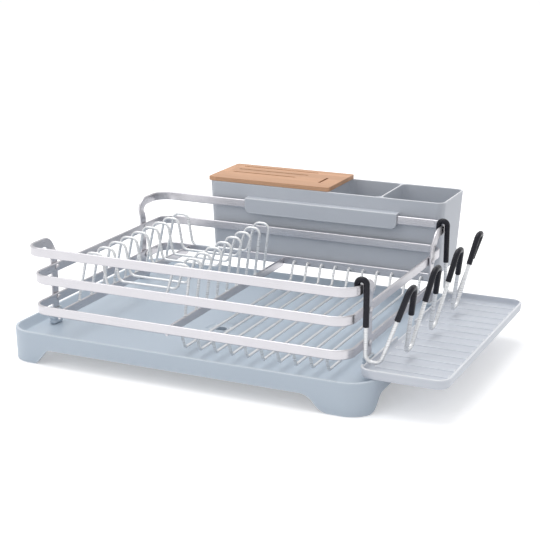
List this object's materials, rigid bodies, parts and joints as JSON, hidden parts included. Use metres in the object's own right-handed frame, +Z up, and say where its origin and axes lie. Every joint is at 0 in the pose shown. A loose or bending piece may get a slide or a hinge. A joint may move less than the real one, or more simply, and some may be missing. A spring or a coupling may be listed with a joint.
{
  "type": "dish drainer",
  "caption": "Flat-bar dish rack with plate wires and a bowl grid on a footed drip tray with a swivel spout, wire cup holder over a side tray, and a hung cutlery caddy",
  "frame": {"origin": "middle of the whole object's plan, on the counter under the feet", "axes": "+X runs along the front to the right, where the side tray is, +Y to the back and +Z up"},
  "size_m": [0.5034, 0.405, 0.1535],
  "materials": {
    "pale_plastic": "matt pale blue-grey moulding",
    "caddy_plastic": "matt pale grey moulding",
    "anodised_bar": "satin anodised flat bar",
    "satin_wire": "satin bright wire",
    "dark_vinyl": "smooth dark sleeve",
    "bamboo": "sanded bamboo"
  },
  "bodies": {
    "drip_tray": {"drip_tray": "pale_plastic"},
    "drain_spout": {"drain_spout": "pale_plastic"},
    "rack": {"bottom_rail": "anodised_bar", "middle_rail": "anodised_bar", "front_top_bar": "anodised_bar", "rear_top_bar": "anodised_bar", "plate_bar_left": "anodised_bar", "plate_bar_right": "anodised_bar", "rivet_front_left_lower": "anodised_bar", "rivet_front_left_upper": "anodised_bar", "rivet_rear_left_lower": "anodised_bar", "rivet_rear_left_upper": "anodised_bar", "rivet_front_right_lower": "anodised_bar", "rivet_front_right_upper": "anodised_bar", "rivet_rear_right_lower": "anodised_bar", "rivet_rear_right_upper": "anodised_bar", "foot_cap_front_left": "pale_plastic", "foot_cap_rear_left": "pale_plastic", "foot_cap_front_right": "pale_plastic", "foot_cap_rear_right": "pale_plastic", "plate_wire_1": "satin_wire", "plate_wire_2": "satin_wire", "plate_wire_3": "satin_wire", "plate_wire_4": "satin_wire", "plate_wire_5": "satin_wire", "plate_wire_6": "satin_wire", "plate_wire_7": "satin_wire", "plate_wire_8": "satin_wire", "plate_wire_9": "satin_wire", "bowl_wire_01": "satin_wire", "bowl_wire_02": "satin_wire", "bowl_wire_03": "satin_wire", "bowl_wire_04": "satin_wire", "bowl_wire_05": "satin_wire", "bowl_wire_06": "satin_wire", "bowl_wire_07": "satin_wire", "bowl_wire_08": "satin_wire", "bowl_wire_09": "satin_wire", "bowl_wire_10": "satin_wire"},
    "cup_holder": {"cup_holder_wire": "satin_wire", "hook_sleeve_front": "dark_vinyl", "hook_sleeve_rear": "dark_vinyl", "peak_sleeve_1": "dark_vinyl", "peak_sleeve_2": "dark_vinyl", "peak_sleeve_3": "dark_vinyl", "peak_sleeve_4": "dark_vinyl"},
    "cutlery_caddy": {"cutlery_caddy": "caddy_plastic"},
    "bamboo_cover": {"bamboo_cover": "bamboo"},
    "side_tray": {"side_tray": "pale_plastic"}
  },
  "joints": [
    {"name": "spout_swivel", "type": "hinge", "parent": "drip_tray", "child": "drain_spout", "pos_m": [-0.05175, -0.0695, 0.012], "axis": [0, 0, 1], "range_deg": [-180, 90]},
    {"name": "rack_lift", "type": "slide", "parent": "drip_tray", "child": "rack", "axis": [0, 0, 1], "range_m": [0, 0.15]},
    {"name": "cup_holder_lift", "type": "slide", "parent": "rack", "child": "cup_holder", "axis": [0, 0, 1], "range_m": [0, 0.06]},
    {"name": "caddy_lift", "type": "slide", "parent": "rack", "child": "cutlery_caddy", "axis": [0, 0, 1], "range_m": [0, 0.08]},
    {"name": "cover_lift", "type": "slide", "parent": "cutlery_caddy", "child": "bamboo_cover", "axis": [0, 0, 1], "range_m": [0, 0.05]},
    {"name": "side_tray_pull", "type": "slide", "parent": "drip_tray", "child": "side_tray", "axis": [1, 0, 0], "range_m": [0, 0.09]}
  ]
}
